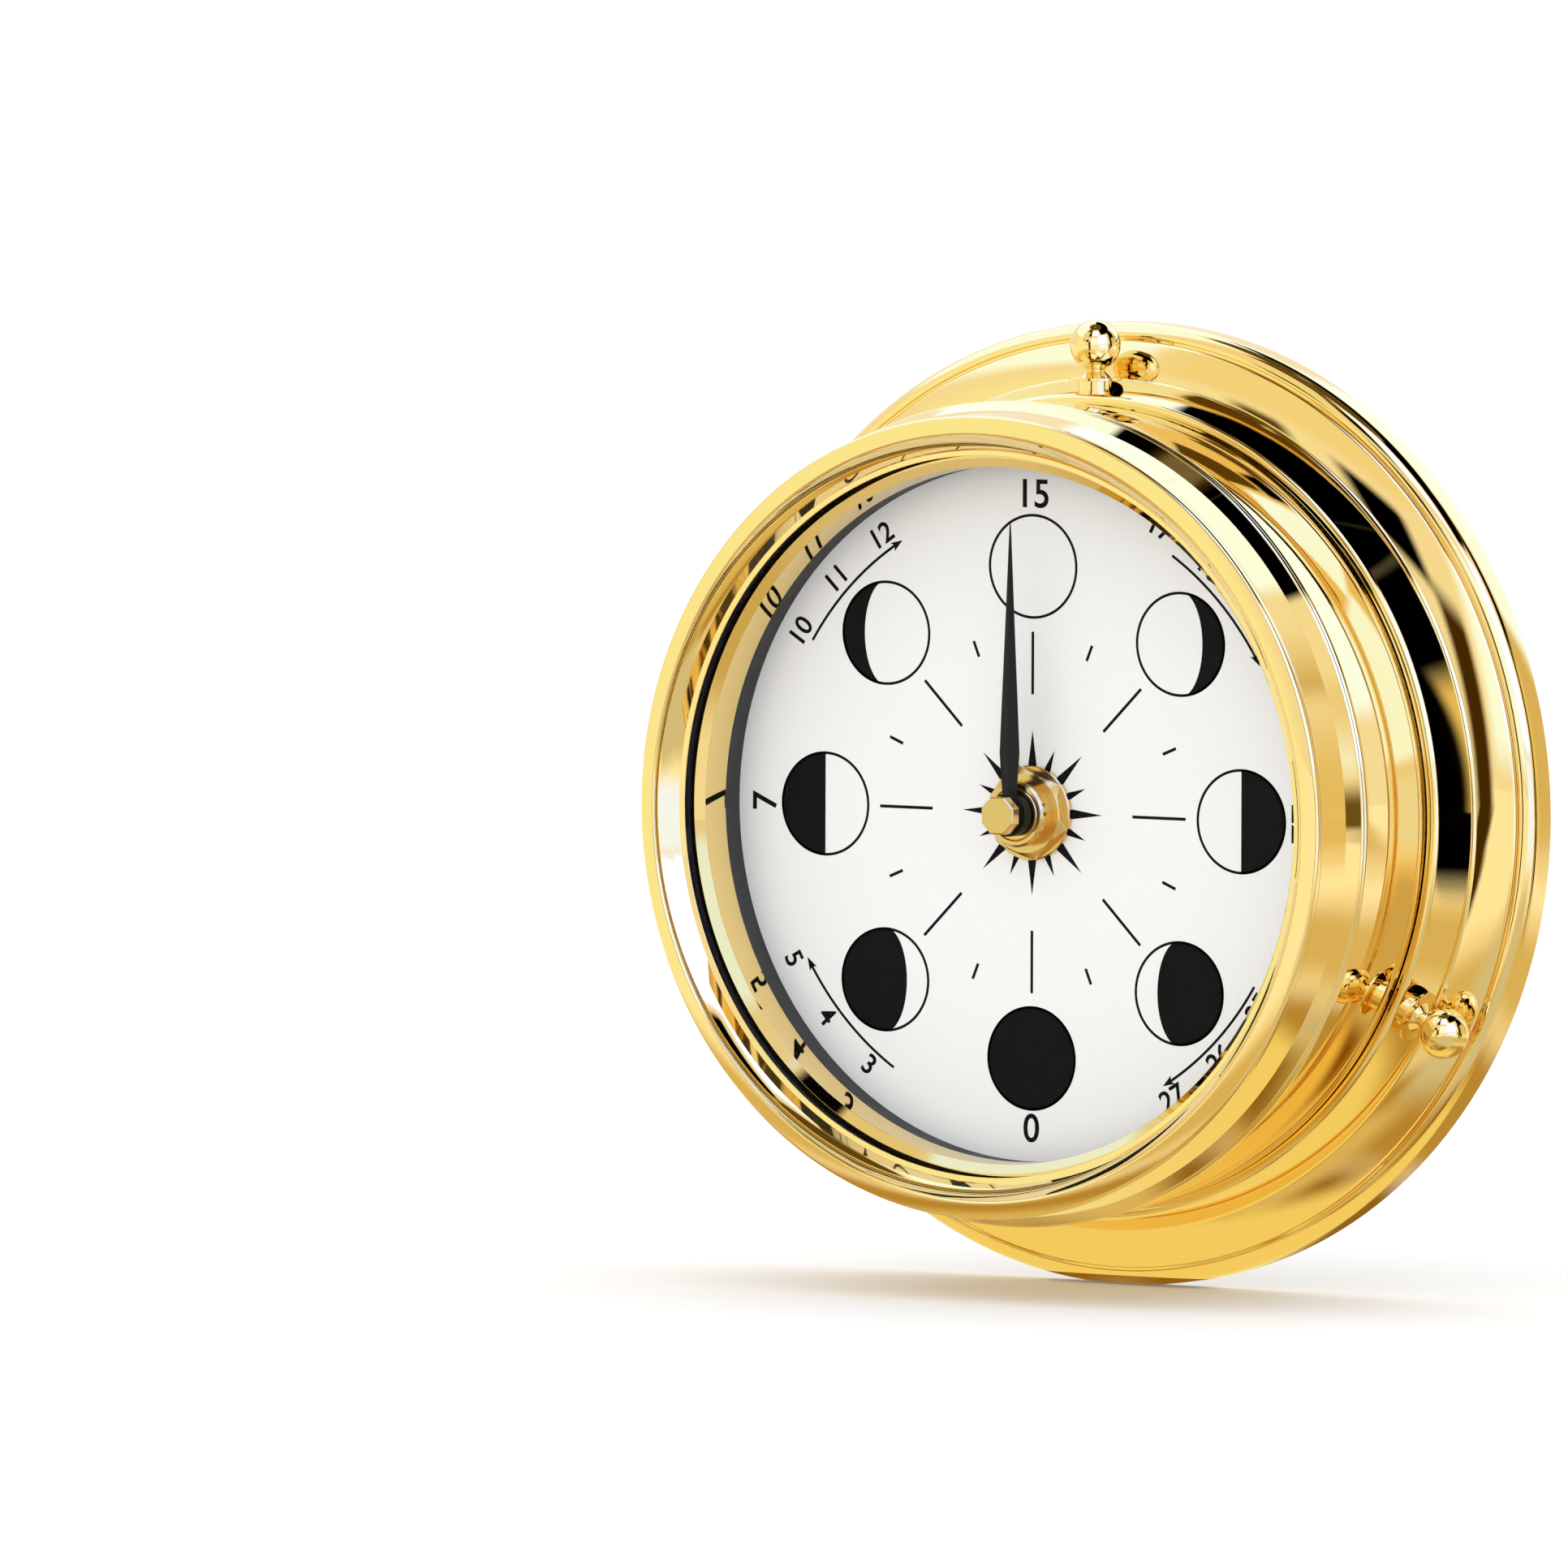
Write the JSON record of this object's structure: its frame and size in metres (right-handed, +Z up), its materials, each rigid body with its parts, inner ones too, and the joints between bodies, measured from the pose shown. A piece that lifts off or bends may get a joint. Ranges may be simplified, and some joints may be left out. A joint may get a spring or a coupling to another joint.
{
  "type": "moon phase clock",
  "caption": "Round brass moon phase clock: flanged base with ball-headed clamp screws, screw-on glazed bezel, single-hand moon dial and battery movement.",
  "frame": {"origin": "centre of the base flange's flat back face, on the clock's own axis", "axes": "+Z up towards 12 o'clock, +X towards 3 o'clock, the dial faces -Y and the flat back faces +Y"},
  "size_m": [0.127, 0.0407, 0.1276],
  "materials": {
    "polished_brass": "mirror-polished brass",
    "movement_brass": "turned brass",
    "clear_glass": "clear flat glass",
    "seal_rubber": "soft black rubber",
    "dial_white": "satin white lacquer with printed black marks",
    "spacer_black": "matte black",
    "hand_black": "satin black",
    "arbor_steel": "ground steel",
    "gear_nylon": "natural moulded nylon",
    "housing_black": "moulded black plastic",
    "battery_wrap": "plain printed sleeve",
    "contact_nickel": "nickel-plated spring steel",
    "board_green": "solder-masked board",
    "crystal_can": "drawn metal can",
    "bobbin_white": "moulded white plastic",
    "coil_copper": "enamelled copper wire",
    "stator_iron": "stamped iron"
  },
  "bodies": {
    "base": {"base_flange": "polished_brass"},
    "case": {"case_drum": "polished_brass", "dial_plate": "dial_white", "dial_spacer": "spacer_black", "inner_ring": "polished_brass", "threaded_bush": "movement_brass", "rubber_washer": "seal_rubber", "dial_nut": "movement_brass", "bush_collar": "movement_brass", "movement_housing": "housing_black", "movement_cover": "housing_black", "battery_contact_positive": "contact_nickel", "battery_contact_negative": "contact_nickel", "stator_plate": "stator_iron", "coil_bobbin": "bobbin_white", "coil_winding": "coil_copper", "circuit_board": "board_green", "quartz_crystal": "crystal_can"},
    "glass": {"glass_lens": "clear_glass", "glass_gasket": "seal_rubber"},
    "bezel": {"bezel_ring": "polished_brass"},
    "hand": {"moon_hand": "hand_black", "hand_cap_nut": "movement_brass", "hand_arbor": "arbor_steel", "moon_wheel": "gear_nylon"},
    "intermediate": {"intermediate_wheel": "gear_nylon"},
    "third": {"third_wheel": "gear_nylon"},
    "rotor": {"rotor": "gear_nylon"},
    "setting": {"setting_stem": "gear_nylon", "setting_knob": "housing_black"},
    "battery": {"battery": "battery_wrap"},
    "screw_slide_top": {"screw_washer_top": "polished_brass"},
    "screw_top": {"ball_screw_top": "polished_brass"},
    "screw_slide_right": {"screw_washer_right": "polished_brass"},
    "screw_right": {"ball_screw_right": "polished_brass"},
    "screw_slide_left": {"screw_washer_left": "polished_brass"},
    "screw_left": {"ball_screw_left": "polished_brass"}
  },
  "joints": [
    {"name": "case_draw", "type": "slide", "parent": "base", "child": "case", "axis": [0, -1, 0], "range_m": [0, 0.016]},
    {"name": "bezel_lift", "type": "slide", "parent": "case", "child": "glass", "axis": [0, -1, 0], "range_m": [0, 0.00301]},
    {"name": "bezel_unscrew", "type": "hinge", "parent": "glass", "child": "bezel", "pos_m": [0, 0, 0], "axis": [0, -1, 0], "range_deg": [0, 1080]},
    {"name": "hand_turn", "type": "hinge", "parent": "case", "child": "hand", "pos_m": [0, 0, 0], "axis": [0, 1, 0], "continuous": true},
    {"name": "intermediate_turn", "type": "hinge", "parent": "case", "child": "intermediate", "pos_m": [0.0054, 0, 0.00935], "axis": [0, 1, 0], "continuous": true},
    {"name": "third_turn", "type": "hinge", "parent": "case", "child": "third", "pos_m": [-0.00077, 0, 0.01671], "axis": [0, 1, 0], "continuous": true},
    {"name": "rotor_turn", "type": "hinge", "parent": "case", "child": "rotor", "pos_m": [0.00662, 0, 0.01801], "axis": [0, 1, 0], "continuous": true},
    {"name": "setting_turn", "type": "hinge", "parent": "case", "child": "setting", "pos_m": [-0.01159, 0, 0.00311], "axis": [0, 1, 0], "continuous": true},
    {"name": "battery_out", "type": "slide", "parent": "case", "child": "battery", "axis": [0, 1, 0], "range_m": [0, 0.03]},
    {"name": "screw_top_lift", "type": "slide", "parent": "base", "child": "screw_slide_top", "axis": [0, 0, 1], "range_m": [0, 0.003]},
    {"name": "screw_top_turn", "type": "hinge", "parent": "screw_slide_top", "child": "screw_top", "pos_m": [0, -0.0115, 0], "axis": [0, 0, 1], "range_deg": [0, 2167.2]},
    {"name": "screw_right_lift", "type": "slide", "parent": "base", "child": "screw_slide_right", "axis": [0.891, 0, -0.454], "range_m": [0, 0.003]},
    {"name": "screw_right_turn", "type": "hinge", "parent": "screw_slide_right", "child": "screw_right", "pos_m": [0, -0.0115, 0], "axis": [0.891, 0, -0.454], "range_deg": [0, 2167.2]},
    {"name": "screw_left_lift", "type": "slide", "parent": "base", "child": "screw_slide_left", "axis": [-0.891, 0, -0.454], "range_m": [0, 0.003]},
    {"name": "screw_left_turn", "type": "hinge", "parent": "screw_slide_left", "child": "screw_left", "pos_m": [0, -0.0115, 0], "axis": [-0.891, 0, -0.454], "range_deg": [0, 2167.2]}
  ],
  "couplings": [
    {"joint": "bezel_lift", "follows": "bezel_unscrew", "m_per_rad": 0.00015915},
    {"joint": "intermediate_turn", "follows": "hand_turn", "ratio": -5},
    {"joint": "third_turn", "follows": "hand_turn", "ratio": 15},
    {"joint": "rotor_turn", "follows": "hand_turn", "ratio": -60},
    {"joint": "setting_turn", "follows": "hand_turn", "ratio": -3},
    {"joint": "screw_top_turn", "follows": "screw_top_lift", "rad_per_m": 12566},
    {"joint": "screw_right_turn", "follows": "screw_right_lift", "rad_per_m": 12566},
    {"joint": "screw_left_turn", "follows": "screw_left_lift", "rad_per_m": 12566}
  ]
}
